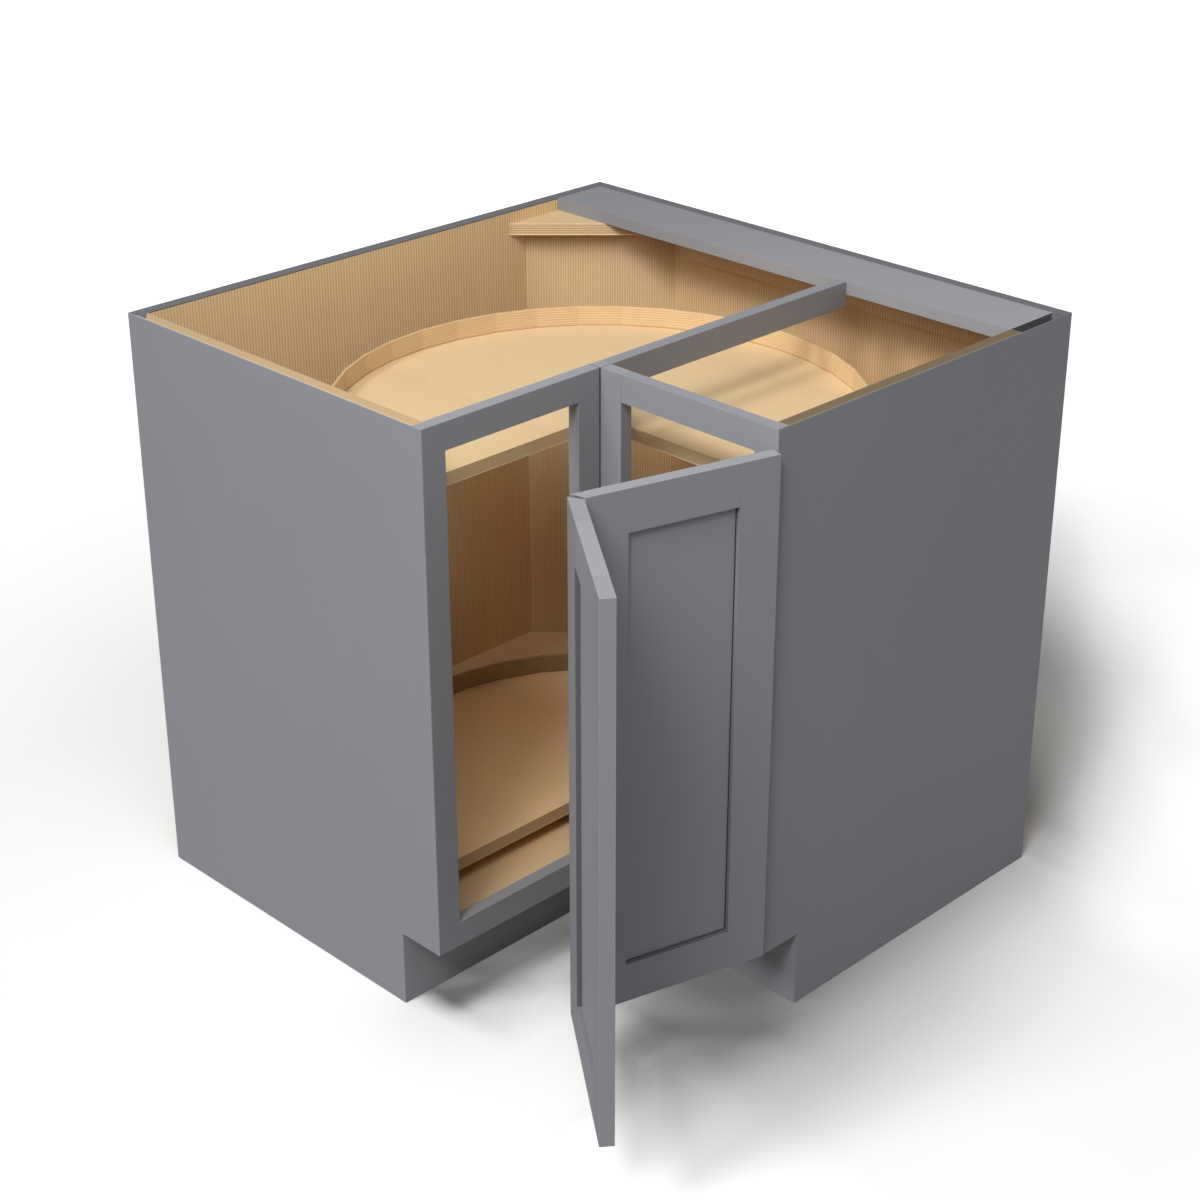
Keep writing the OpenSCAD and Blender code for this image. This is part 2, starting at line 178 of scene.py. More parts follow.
def grey_paint(name, grain="Z", angle=0.0, tone=1.0, edge=False, top=1.0, ledge=1.0, seam=None, fade=None):
    """Satin grey paint on wood: grain just telegraphing through, a fine sprayed texture, faint clouds. With edge=True
    it is the paint on the eased edges, thinner and rubbed paler in places, with painted shade on those that face down.
    top scales the faces that look up at worktop or door-top height and ledge the ones lower down, painting light above
    1 and shade below 1;
    seam (axis, position) paints a thin line of shade along a concave corner, and fade (axis, from, to) a falloff of
    light along an axis."""
    t = Tree(name)
    c = t.mapping(t.coord(), rot=(0, 0, angle))
    g = t.mapping(c, scale=stretch(grain))
    fine = t.noise(g, scale=1300.0, detail=3.0, rough=0.6)
    mid = t.noise(g, scale=240.0, detail=4.0, rough=0.55, distortion=0.3)
    cloud = t.noise(c, scale=2.4, detail=2.0, rough=0.45)
    stip = t.noise(c, scale=1700.0, detail=2.0, rough=0.5)
    base = scaled(GREY, tone)
    col = t.ramp(mid, [(0.30, scaled(base, 0.975)), (0.5, base), (0.72, scaled(base, 1.02))])
    col = t.mix(0.5, col, t.ramp(cloud, [(0.35, scaled(base, 0.97)), (0.65, scaled(base, 1.025))]))
    col = t.mix(t.math("MULTIPLY", t.ramp(fine, [(0.62, 0.0), (0.78, 1.0)]), 0.10), col, scaled(base, 0.80))
    if edge:
        rub = t.ramp(t.noise(c, scale=46.0, detail=6.0, rough=0.72), [(0.44, 0.0), (0.64, 1.0)])
        col = t.mix(t.math("ADD", t.math("MULTIPLY", rub, 0.34), 0.06), col, scaled(base, 1.30))
        # painted shade on the eased edges that face down
        under = t.ramp(t.math("MULTIPLY", t.sep(t.normal())[2], -1.0), [(0.25, 0.0), (0.60, 1.0)])
        col = t.mix(under, col, scaled(base, 0.30))
    # painted light and shade: upward faces at worktop or door-top height are scaled by top, lower ones by ledge
    if top != 1.0 or ledge != 1.0:
        up = t.ramp(t.sep(t.normal())[2], [(0.70, 0.0), (0.90, 1.0)])
        high = t.math("GREATER_THAN", t.sep(t.coord())[2], 0.845)
        col = t.mix(t.math("MULTIPLY", up, high), col, t.mix(t.math("MULTIPLY", mid, 0.12), scaled(base, top), scaled(base, top * 0.85)))
        col = t.mix(t.math("MULTIPLY", up, t.math("SUBTRACT", 1.0, high)), col, scaled(base, ledge))
    # painted shade: a thin dark line in the concave corner where the two inner stiles meet
    if seam:
        col = t.mix(t.math("MULTIPLY", t.math("GREATER_THAN", t.sep(t.coord())[seam[0]], seam[1]), 0.9), col, scaled(base, 0.10))
    # painted light: the grey falls off to darker along one axis
    if fade:
        along = t.math("MULTIPLY", t.sep(t.coord())[fade[0]], -1.0)
        col = t.mix(1.0, col, t.ramp(along, [(0.0, fade[1]), (0.5, 0.5 * (fade[1] + fade[2])), (0.92, fade[2])]), "MULTIPLY")
    rough = t.math("ADD", t.math("MULTIPLY", mid, 0.08), 0.43 if not edge else 0.36)
    rough = t.math("ADD", rough, t.math("MULTIPLY", stip, 0.04))
    h = t.math("ADD", t.math("MULTIPLY", fine, 0.4), t.math("MULTIPLY", mid, 0.6))
    nrm = t.bump(h, strength=0.10, distance=0.00025)
    nrm = t.bump(stip, strength=0.06, distance=0.0001, prev=nrm)
    t.set(Base_Color=col, Roughness=rough, Normal=nrm)
    t.bsdf.inputs["Specular IOR Level"].default_value = 0.35
    return t.mat


def maple_wall(name, along=(1.0, 0.0), tone=1.0, period=0.0043, cut=0.96, notch=False, low=None, corner=False):
    """Maple ply with upright grain: close regular pore lines, soft broad bands, fine pores. Ply layers on cut edges that face up."""
    t = Tree(name)
    c = t.coord()
    s = t.sep(c)
    u = t.math("ADD", t.math("MULTIPLY", s[0], along[0]), t.math("MULTIPLY", s[1], along[1]))
    g = t.mapping(c, scale=stretch("Z", 0.018))
    fine = t.noise(g, scale=900.0, detail=3.0, rough=0.65)
    broad = t.noise(g, scale=16.0, detail=4.0, rough=0.5, distortion=0.5)
    mott = t.noise(c, scale=26.0, detail=5.0, rough=0.6)
    jit = t.noise(g, scale=55.0, detail=2.0, rough=0.5)
    ph = t.math("ADD", t.math("MULTIPLY", u, TAU / period), t.math("MULTIPLY", jit, 1.2))
    line = t.math("ADD", t.math("MULTIPLY", t.math("SINE", ph), 0.5), 0.5)
    amp = t.ramp(t.noise(g, scale=30.0, detail=3.0), [(0.30, 0.86), (0.70, 1.0)])
    base = scaled(MAPLE, tone)
    col = t.ramp(broad, [(0.30, scaled(base, 0.985)), (0.5, base), (0.72, scaled(base, 1.01))])
    col = t.mix(t.math("MULTIPLY", t.math("MULTIPLY", line, amp), 0.52), col, scaled(MAPLE_D, 0.60 * tone))
    col = t.mix(t.math("MULTIPLY", t.ramp(fine, [(0.52, 0.0), (0.78, 1.0)]), 0.22), col, scaled(MAPLE_D, 0.62 * tone))
    col = t.mix(t.math("MULTIPLY", t.ramp(mott, [(0.4, 0.0), (0.7, 1.0)]), 0.10), col, scaled(base, 0.84))
    nz = t.sep(t.normal())[2]
    up = t.ramp(nz, [(0.80, 0.0), (0.92, 1.0)])
    # the cut top edge shows the layers running along the board
    v = t.math("ADD", t.math("MULTIPLY", s[0], -along[1]), t.math("MULTIPLY", s[1], along[0]))
    lay = t.math("ADD", t.math("MULTIPLY", t.math("SINE", t.math("MULTIPLY", v, TAU / 0.0046)), 0.5), 0.5)
    edge = t.mix(t.math("MULTIPLY", lay, 0.24), scaled(base, cut), scaled(MAPLE_D, 0.75 * cut * tone))
    edge = t.mix(t.math("MULTIPLY", t.noise(c, scale=900.0, detail=2.0), 0.25), edge, scaled(MAPLE_D, 0.80 * cut * tone))
    col = t.mix(up, col, edge)
    if low:
        # painted shade: the inner face, at x = -19 mm, is darker below the upper tray, where the tray shades it
        inner = t.math("LESS_THAN", s[0], -0.010)
        col = t.mix(1.0, col, t.mix(inner, (1.0, 1.0, 1.0), t.ramp(s[2], [(0.66, low), (0.77, 1.0)])), "MULTIPLY")
    if corner:
        # the mitred end of the grey strip at the back corner takes a dark grey
        diag = t.math("ADD", s[1], t.math("MULTIPLY", t.math("SUBTRACT", -0.89535, s[0]), 1.19))
        tip = t.math("MULTIPLY", up, t.math("GREATER_THAN", diag, -0.01905))
        col = t.mix(tip, col, t.ramp(broad, [(0.3, scaled(GREY, 0.44)), (0.7, scaled(GREY, 0.48))]))
    if notch:
        # the grey paint runs down into the notch at the end of the flat rail
        in_notch = t.math("MULTIPLY", t.math("LESS_THAN", s[1], -0.8954), t.math("GREATER_THAN", s[2], 0.8570))
        col = t.mix(in_notch, col, t.ramp(broad, [(0.3, scaled(GREY, 0.62)), (0.7, scaled(GREY, 0.66))]))
    h = t.math("ADD", t.math("MULTIPLY", fine, 0.5), t.math("MULTIPLY", line, -0.5))
    t.set(Base_Color=col, Roughness=t.math("ADD", t.math("MULTIPLY", fine, 0.14), 0.46), Normal=t.bump(h, strength=0.22, distance=0.0003))
    t.bsdf.inputs["Specular IOR Level"].default_value = 0.30
    return t.mat


def maple_board(name, tone=1.0, grain="X", layers=7.5, z0=0.0, thick=0.01905, angle=0.0, face_lines=0.0, ply=0.8):
    """A plywood board lying flat: fine grain on the faces, and on its edges the layers with dark glue lines and a pale bottom ply."""
    t = Tree(name)
    c = t.mapping(t.coord(), rot=(0, 0, angle))
    g = t.mapping(c, scale=stretch(grain, 0.06))
    fine = t.noise(g, scale=640.0, detail=3.0, rough=0.6)
    broad = t.noise(g, scale=12.0, detail=5.0, rough=0.5, distortion=0.6)
    mott = t.noise(c, scale=55.0, detail=5.0, rough=0.65)
    speck = t.noise(c, scale=420.0, detail=2.0, rough=0.5)
    base = scaled(MAPLE, tone)
    face = t.ramp(broad, [(0.30, scaled(base, 0.965)), (0.5, base), (0.72, scaled(base, 1.025))])
    face = t.mix(t.math("MULTIPLY", t.ramp(fine, [(0.52, 0.0), (0.80, 1.0)]), 0.16), face, scaled(MAPLE_D, 0.80 * tone))
    face = t.mix(t.math("MULTIPLY", t.ramp(mott, [(0.42, 0.0), (0.68, 1.0)]), 0.13), face, scaled(base, 0.86))
    face = t.mix(t.math("MULTIPLY", t.ramp(speck, [(0.60, 0.0), (0.74, 1.0)]), 0.14), face, scaled(MAPLE_D, 0.74 * tone))
    if face_lines:
        q = t.sep(c)[1 if grain == "X" else 0]
        wob = t.noise(g, scale=40.0, detail=2.0)
        fl = t.math("SINE", t.math("ADD", t.math("MULTIPLY", q, TAU / 0.0075), t.math("MULTIPLY", wob, 9.0)))
        face = t.mix(t.math("MULTIPLY", t.math("ADD", t.math("MULTIPLY", fl, 0.5), 0.5), face_lines), face, scaled(MAPLE_D, 0.80 * tone))
    z = t.sep(t.coord())[2]
    k = t.math("MULTIPLY", t.math("SUBTRACT", z, z0), layers / thick)
    fr = t.math("FRACT", k)
    glue = t.ramp(fr, [(0.0, 1.0), (0.16, 0.35), (0.30, 0.0), (0.78, 0.0), (0.92, 0.6), (1.0, 1.0)])
    bottom = t.ramp(k, [(0.55, 1.0), (0.70, 0.0)])
    fib = t.noise(t.mapping(c, scale=(0.3, 0.3, 5.0)), scale=420.0, detail=3.0)
    lay = t.mix(t.math("MULTIPLY", fib, 0.30), scaled(MAPLE, 1.08 * ply), scaled(MAPLE_D, 0.82 * ply))
    lay = t.mix(t.math("MULTIPLY", glue, 0.85), lay, scaled(MAPLE_D, 0.40 * ply))
    lay = t.mix(t.math("MULTIPLY", bottom, 0.9), lay, scaled(MAPLE, 1.35 * ply))
    nz = t.math("ABSOLUTE", t.sep(t.normal())[2])
    side = t.ramp(nz, [(0.25, 1.0), (0.6, 0.0)])
    col = t.mix(side, face, lay)
    h = t.math("ADD", t.math("MULTIPLY", fine, 0.6), t.math("MULTIPLY", t.math("MULTIPLY", glue, side), -0.8))
    t.set(Base_Color=col, Roughness=t.math("ADD", t.math("MULTIPLY", fine, 0.12), 0.46), Normal=t.bump(h, strength=0.18, distance=0.0003))
    t.bsdf.inputs["Specular IOR Level"].default_value = 0.30
    return t.mat


def maple_rim(name, joint, tone=1.0, period=0.0039):
    """A bent ply strip: close pore lines run level round it, with a thin dark line where it meets the board at height joint."""
    t = Tree(name)
    c = t.coord()
    s = t.sep(c)
    g = t.mapping(c, scale=(0.03, 0.03, 1.0))
    fine = t.noise(g, scale=1000.0, detail=3.0, rough=0.6)
    broad = t.noise(c, scale=9.0, detail=3.0, rough=0.5)
    jit = t.noise(g, scale=120.0, detail=2.0)
    ph = t.math("ADD", t.math("MULTIPLY", s[2], TAU / period), t.math("MULTIPLY", jit, 2.0))
    line = t.math("ADD", t.math("MULTIPLY", t.math("SINE", ph), 0.5), 0.5)
    base = scaled(MAPLE, tone)
    col = t.ramp(broad, [(0.35, scaled(base, 0.97)), (0.65, scaled(base, 1.03))])
    col = t.mix(t.math("MULTIPLY", line, 0.40), col, scaled(MAPLE_D, 0.66 * tone))
    col = t.mix(t.math("MULTIPLY", t.ramp(fine, [(0.5, 0.0), (0.8, 1.0)]), 0.18), col, scaled(MAPLE_D, 0.62 * tone))
    up = t.ramp(t.sep(t.normal())[2], [(0.6, 0.0), (0.85, 1.0)])
    col = t.mix(up, col, t.mix(t.math("MULTIPLY", fine, 0.4), scaled(base, 0.74), scaled(MAPLE_D, 0.72 * tone)))
    d = t.math("SUBTRACT", s[2], joint)
    seam = t.math("MULTIPLY", t.ramp(t.math("ADD", t.math("MULTIPLY", d, 400.0), 0.5), [(0.26, 0.0), (0.40, 1.0), (0.86, 1.0), (1.0, 0.2)]), 0.78)
    col = t.mix(seam, col, scaled(MAPLE_D, 0.34 * tone))
    h = t.math("ADD", t.math("MULTIPLY", fine, 0.4), t.math("MULTIPLY", line, -0.6))
    t.set(Base_Color=col, Roughness=t.math("ADD", t.math("MULTIPLY", fine, 0.12), 0.46), Normal=t.bump(h, strength=0.24, distance=0.0003))
    t.bsdf.inputs["Specular IOR Level"].default_value = 0.30
    return t.mat


def metal(name, base, rough=0.32, brushed="Z"):
    """Plated steel: brushed streaks, dull blotches, a few darker pits."""
    t = Tree(name)
    c = t.coord()
    sc = (1, 1, 0.04) if brushed == "Z" else (0.04, 0.04, 1.0)
    g = t.mapping(c, scale=sc)
    f = t.noise(g, scale=1400.0, detail=3.0, rough=0.6)
    b = t.noise(c, scale=70.0, detail=5.0, rough=0.6)
    pit = t.ramp(t.noise(c, scale=520.0, detail=2.0), [(0.66, 0.0), (0.74, 1.0)])
    col = t.ramp(b, [(0.3, scaled(base, 0.86)), (0.7, scaled(base, 1.08))])
    col = t.mix(t.math("MULTIPLY", pit, 0.35), col, scaled(base, 0.55))
    t.set(Base_Color=col, Roughness=t.math("ADD", t.math("MULTIPLY", f, 0.16), rough - 0.06), Normal=t.bump(f, strength=0.15, distance=0.0001))
    t.bsdf.inputs["Metallic"].default_value = 1.0
    return t.mat


def plastic(name, base):
    t = Tree(name)
    c = t.coord()
    f = t.noise(c, scale=1800.0, detail=2.0)
    b = t.noise(c, scale=90.0, detail=4.0)
    t.set(Base_Color=t.ramp(b, [(0.3, scaled(base, 0.94)), (0.7, scaled(base, 1.03))]), Roughness=t.math("ADD", t.math("MULTIPLY", f, 0.1), 0.45), Normal=t.bump(f, strength=0.12, distance=0.0001))
    return t.mat


DOOR_A = math.radians(74.3)
DOOR_B = math.radians(74.3 - 21.5)
R2 = math.sqrt(0.5)
# each maple part has its own tone, set to how light or dark it looks where it stands: partly the wood's own variation,
# partly painted light and shade; the right side's darkened eased edges are painted shade
M = {
    "wall_x": maple_wall("maple ply along x", (1.0, 0.0), tone=1.12, period=0.0052),
    "wall_y": maple_wall("maple ply along y", (0.0, 1.0), tone=1.18, period=0.0048, notch=True, low=(0.64, 0.54, 0.47)),
    "side_y": maple_wall("maple ply left side", (0.0, 1.0), cut=0.68, corner=True),
    "side_x": maple_wall("maple ply right side", (1.0, 0.0), cut=0.235),
    "wall_d": maple_wall("maple ply diagonal", (R2, -R2), tone=1.02, period=0.0039),
    "floor": maple_board("maple ply floor", tone=0.93, grain="X", z0=0.1143),
    "brace": maple_board("plywood brace", tone=0.82, grain="X", z0=0.8382, angle=math.radians(45), layers=5.0, face_lines=0.22, ply=0.90),
    "low_board": maple_board("plywood lower tray", tone=1.12, grain="Y", z0=0.15621, ply=0.80),
    "up_board": maple_board("plywood upper tray", tone=0.87, grain="Y", z0=0.73914, ply=1.10),
    "low_rim": maple_rim("bent rim lower", 0.17526, tone=0.62),
    "up_rim": maple_rim("bent rim upper", 0.75819, tone=1.14),
    "maple_edge": maple_board("eased maple edges", tone=1.03, grain="X", layers=1.0, z0=-5.0),
    "side_x_edge": maple_board("eased right side edges", tone=0.50, grain="X", layers=1.0, z0=-5.0, ply=0.5),
    "zinc": metal("zinc plated steel", (0.62, 0.63, 0.65), 0.34),
    "dark": metal("plated steel", (0.34, 0.345, 0.36), 0.36, "H"),
    "poly": plastic("moulded polymer", (0.72, 0.72, 0.69)),
}
# copies of the one grey paint, part by part: tone scales a part's grey and top and ledge its upward faces, set to how
# light or dark each part looks where it stands, so they paint light and shade onto single parts; seam paints a line of
# shade into the inner stiles' corner
INNER = -0.6096 - 0.0013
# painted light: the flat rail's grey is darker towards y = 0 and full towards its -y end
FADE = {"paint_rail": (1, 0.78, 1.0)}
for key, grain, ang, tone, top, ledge, seam in (
    ("paint_z", "Z", 0.0, 1.0, 1.0, 1.0, None), ("paint_x", "X", 0.0, 1.0, 1.0, 1.0, None), ("paint_y", "Y", 0.0, 1.0, 1.0, 1.0, None),
    ("paint_stile", "Z", 0.0, 1.0, 1.0, 1.0, None), ("paint_door", "Z", 0.0, 1.0, 1.06, 1.0, None),
    ("paint_inner_x", "Z", 0.0, 1.0, 1.0, 1.0, (0, INNER)), ("paint_inner_y", "Z", 0.0, 1.0, 1.0, 1.0, (1, INNER)),
    ("paint_a", "Y", -DOOR_A, 1.0, 1.06, 0.55, None), ("paint_b", "X", -DOOR_B, 1.10, 0.96, 0.60, None),
    ("paint_door_b", "Z", 0.0, 1.02, 0.97, 1.0, None), ("paint_panel_b", "Z", 0.0, 1.12, 1.0, 1.0, None),
    ("paint_stretch", "X", 0.0, 0.87, 1.0, 1.0, None), ("paint_rail", "Y", 0.0, 1.08, 1.0, 1.0, None),
    ("paint_frame_y", "Y", 0.0, 1.0, 0.93, 1.0, None), ("paint_skin_r", "Z", 0.0, 1.0, 0.36, 1.0, None),
    ("paint_cap", "X", 0.0, 0.50, 1.0, 1.0, None), ("paint_toe", "X", 0.0, 1.12, 1.0, 1.0, None),
    ("painted_shade_end", "X", 0.0, 0.46, 1.0, 1.0, None), ("painted_shade_gap", "Z", 0.0, 0.03, 1.0, 1.0, None),
    ("painted_shade_step", "Z", 0.0, 0.46, 1.0, 1.0, None),
):
    M[key] = grey_paint("grey " + key.replace("_", " "), grain, ang, tone, False, top, ledge, seam, FADE.get(key))
    M[key + "_edge"] = grey_paint("grey " + key.replace("_", " ") + " edges", grain, ang, tone, True, top, ledge, seam, FADE.get(key))

USE = {
    "side_left": "side_y", "side_right": "side_x", "wall_left": "wall_x", "wall_right": "wall_y",
    "nailer_left": "wall_x", "nailer_right": "wall_y", "diagonal_panel": "wall_d",
    "corner_brace": "brace", "floor_panel": "floor",
    "skin_left": "paint_z", "skin_right": "paint_skin_r", "wall_caps": "paint_cap",
    "top_rail_flat": "paint_rail", "stretcher": "paint_stretch",
    "frame_left_outer_stile": "paint_stile", "frame_left_inner_stile": "paint_inner_x",
    "frame_left_top_rail": "paint_x", "frame_left_bottom_rail": "paint_x",
    "frame_right_outer_stile": "paint_z", "frame_right_inner_stile": "paint_inner_y",
    "frame_right_top_rail": "paint_frame_y", "frame_right_bottom_rail": "paint_y",
    "frame_corner_post": "paint_z", "toe_kick_left": "paint_toe", "toe_kick_right": "paint_toe",
    "door_a_hinge_stile": "paint_door", "door_a_fold_stile": "paint_door", "door_a_panel": "paint_z",
    "door_a_top_rail": "paint_a", "door_a_bottom_rail": "paint_a",
    "door_b_fold_stile": "paint_door_b", "door_b_free_stile": "paint_door_b", "door_b_panel": "paint_panel_b",
    "door_b_top_rail": "paint_b", "door_b_bottom_rail": "paint_b",
    "lower_tray_board": "low_board", "upper_tray_board": "up_board",
    "lower_tray_rim": "low_rim", "upper_tray_rim": "up_rim",
    "center_post": "zinc", "carousel_screws": "zinc", "collar_screw": "zinc",
    "hinge_leaves_frame": "zinc", "hinge_leaves_door": "zinc", "fold_leaf_a": "zinc", "fold_leaf_b": "zinc",
    "hinge_screws_frame": "zinc", "hinge_screws_door": "zinc", "fold_screws_a": "zinc", "fold_screws_b": "zinc",
    "lower_hub_screws": "zinc", "upper_hub_screws": "zinc",
    "post_foot": "dark", "head_bracket": "dark", "upper_collar": "dark", "lower_hub": "dark", "upper_hub": "dark",
    "hinge_pins": "dark", "fold_pin": "dark", "thrust_washers": "poly",
}
BEVEL = {
    "side_left": 0.0005, "side_right": 0.0005, "skin_left": 0.0004, "skin_right": 0.0004, "wall_caps": 0.0004,
    "corner_brace": 0.0006, "top_rail_flat": 0.0009, "stretcher": 0.0009,
    "diagonal_panel": 0.0004,
    "toe_kick_left": 0.0006, "toe_kick_right": 0.0006, "frame_corner_post": 0.0005,
    "lower_tray_board": 0.0005, "upper_tray_board": 0.0005, "lower_tray_rim": 0.0003, "upper_tray_rim": 0.0003,
}
for n in USE:
    if n.startswith("frame_") and n not in BEVEL:
        BEVEL[n] = 0.0006
    if n.startswith("door_"):
        BEVEL[n] = 0.00045

for name, key in USE.items():
    o = N[name]
    o.data.materials.clear()
    o.data.materials.append(M[key])
    for p in o.data.polygons:
        p.material_index = 0
        p.use_smooth = False
    w = BEVEL.get(name)
    if w:
        second = M.get(key + "_edge") or M["maple_edge"]
        o.data.materials.append(second)
        weld = o.modifiers.new("weld", "WELD")
        weld.merge_threshold = 0.00001
        b = o.modifiers.new("edges", "BEVEL")
        b.width = w
        b.segments = 3
        b.limit_method = "ANGLE"
        b.angle_limit = math.radians(25)
        b.material = 1
        b.harden_normals = False
        b.use_clamp_overlap = True

# painted shade: the grooves round the door panels take a near-black grey and the cut end of the flat rail a dark grey,
# the shade in the grooves and on the rail's end
for name in ("door_a_panel", "door_b_panel"):
    o = N[name]
    o.data.materials.append(M["painted_shade_gap"])
    big = max(o.data.polygons, key=lambda p: p.area)
    nrm = big.normal.copy()
    ds = [nrm.dot(p.center) for p in o.data.polygons if abs(nrm.dot(p.normal)) > 0.99 and p.area > 0.5 * big.area]
    mid = 0.5 * (min(ds) + max(ds))
    half = 0.5 * (max(ds) - min(ds))
    for p in o.data.polygons:
        if abs(nrm.dot(p.center) - mid) < half - 0.0001:
            p.material_index = 2
# and the outer leaf's fold stile takes painted shade on its inner edge, where the panel lies deeper
o = N["door_b_fold_stile"]
o.data.materials.append(M["painted_shade_step"])
to_free = (N["door_b_free_stile"].matrix_world @ Vector(N["door_b_free_stile"].bound_box[0])) - (o.matrix_world @ Vector(o.bound_box[0]))
to_free.z = 0.0
to_free.normalize()
for p in o.data.polygons:
    if (o.matrix_world.to_3x3() @ p.normal).dot(to_free) > 0.9:
        p.material_index = 2
# painted shade on the flat rail's end face
o = N["top_rail_flat"]
o.data.materials.append(M["painted_shade_end"])
for p in o.data.polygons:
    if p.normal.y < -0.9:
        p.material_index = 2

# ------------------------------------------------------------------ stage
def plane(name, size, z, mat):
    me = bpy.data.meshes.new(name)
    s = size
    me.from_pydata([(-s, -s, z), (s, -s, z), (s, s, z), (-s, s, z)], [], [(0, 1, 2, 3)])
    o = bpy.data.objects.new(name, me)
    bpy.context.scene.collection.objects.link(o)
    o.data.materials.append(mat)
    return o


tf = Tree("pale floor")
tc = tf.coord()
ts = tf.sep(tc)
tdx, tdy = tf.math("ADD", ts[0], 0.45), tf.math("ADD", ts[1], 0.45)
far = tf.math("SQRT", tf.math("ADD", tf.math("MULTIPLY", tdx, tdx), tf.math("MULTIPLY", tdy, tdy)))
glow = tf.ramp(tf.math("DIVIDE", far, 5.0), [(0.20, 0.0), (0.32, 0.14), (0.60, 0.42), (1.0, 0.55)])


def from_box(x0, x1, y0, y1):
    """Distance in plan to an upright box."""
    qx = tf.math("MAXIMUM", tf.math("SUBTRACT", tf.math("ABSOLUTE", tf.math("SUBTRACT", ts[0], 0.5 * (x0 + x1))), 0.5 * (x1 - x0)), 0.0)
    qy = tf.math("MAXIMUM", tf.math("SUBTRACT", tf.math("ABSOLUTE", tf.math("SUBTRACT", ts[1], 0.5 * (y0 + y1))), 0.5 * (y1 - y0)), 0.0)
    return tf.math("SQRT", tf.math("ADD", tf.math("MULTIPLY", qx, qx), tf.math("MULTIPLY", qy, qy)))


def falloff(d, width):
    return tf.math("EXPONENT", tf.math("MULTIPLY", tf.math("POWER", tf.math("DIVIDE", d, width), 1.3), -1.0))


# painted shadow: the pale floor is darkened close round the cabinet's feet
minus_x, minus_y = tf.math("MULTIPLY", ts[0], -1.0), tf.math("MULTIPLY", ts[1], -1.0)
reach = tf.ramp(tf.math("MULTIPLY", tf.math("ADD", minus_x, 0.40), 0.8), [(0.12, 0.0), (0.26, 0.22), (0.34, 0.30), (0.64, 0.54), (0.80, 0.67), (0.88, 0.44), (0.93, 0.12), (0.98, 0.0)])
dark_r = tf.math("MULTIPLY", falloff(from_box(-0.70, 0.03, -0.9144, -0.60), 0.11), reach)
dark_l = tf.math("MULTIPLY", falloff(from_box(-0.9144, -0.5334, -0.6096, -0.5334), 0.08), 0.10)
lean = tf.math("MULTIPLY", tf.math("MAXIMUM", tf.math("SUBTRACT", 0.575, minus_y), 0.0), 1.5)
under_l = tf.math(
    "MULTIPLY", tf.ramp(minus_y, [(0.500, 0.0), (0.530, 0.80), (0.560, 0.85), (0.580, 0.80), (0.592, 0.68), (0.605, 0.42), (0.620, 0.25), (0.645, 0.20), (0.680, 0.10), (0.720, 0.0)]),
    tf.math("MULTIPLY", tf.ramp(tf.math("SUBTRACT", minus_x, lean), [(0.70, 0.0), (0.74, 0.35), (0.78, 0.55), (0.82, 0.90), (0.87, 1.0)]), tf.ramp(minus_x, [(0.865, 1.0), (0.89, 0.30), (0.905, 0.0)])))
# and painted shadow between the open doors and the right toe kick
bend = tf.math("ADD", tf.math("MAXIMUM", tf.math("SUBTRACT", 0.70, minus_x), 0.0), tf.math("MAXIMUM", tf.math("SUBTRACT", minus_x, 0.78), 0.0))
off = tf.math("ADD", tf.math("SUBTRACT", minus_y, tf.math("ADD", bend, 0.825)), 0.1)
by_door = tf.math(
    "MULTIPLY", tf.ramp(off, [(0.025, 0.0), (0.055, 0.30), (0.075, 0.70), (0.10, 1.0), (0.12, 0.85), (0.135, 0.43), (0.16, 0.0)]),
    tf.ramp(minus_x, [(0.58, 0.0), (0.62, 0.15), (0.66, 0.28), (0.70, 0.46), (0.75, 0.54), (0.79, 0.46), (0.82, 0.33), (0.86, 0.20), (0.94, 0.0)]))
keep = tf.math("MULTIPLY", tf.math("SUBTRACT", 1.0, dark_r), tf.math("SUBTRACT", 1.0, dark_l))
keep = tf.math("MULTIPLY", tf.math("MULTIPLY", keep, tf.math("SUBTRACT", 1.0, under_l)), tf.math("SUBTRACT", 1.0, by_door))
# beside the right-hand end the shadow's core is a little deeper and its outside edge a little shorter
side = tf.math("ADD", tf.math("ADD", minus_y, -0.92), tf.math("MULTIPLY", ts[0], 0.645))
core = tf.math(
    "MULTIPLY", tf.ramp(tf.math("ADD", side, 0.10), [(0.0, 0.0), (0.05, 1.0), (0.10, 1.0), (0.14, 0.78), (0.17, 0.52), (0.20, 0.22), (0.25, 0.0)]),
    tf.ramp(tf.math("MULTIPLY", ts[0], 0.75), [(0.0, 0.0), (0.015, 0.12), (0.0375, 0.14), (0.075, 0.40), (0.09, 0.47), (0.15, 0.40), (0.21, 0.25), (0.28, 0.12), (0.345, 0.10), (0.42, 0.16), (0.50, 0.28), (0.60, 0.30), (0.68, 0.27), (0.77, 0.22), (0.84, 0.14), (0.94, 0.0)]))
keep = tf.math("MULTIPLY", keep, tf.math("SUBTRACT", 1.0, core))
tone_f = tf.ramp(tf.noise(tc, scale=3.0, detail=3.0), [(0.3, (0.895, 0.895, 0.895)), (0.7, (0.905, 0.905, 0.905))])
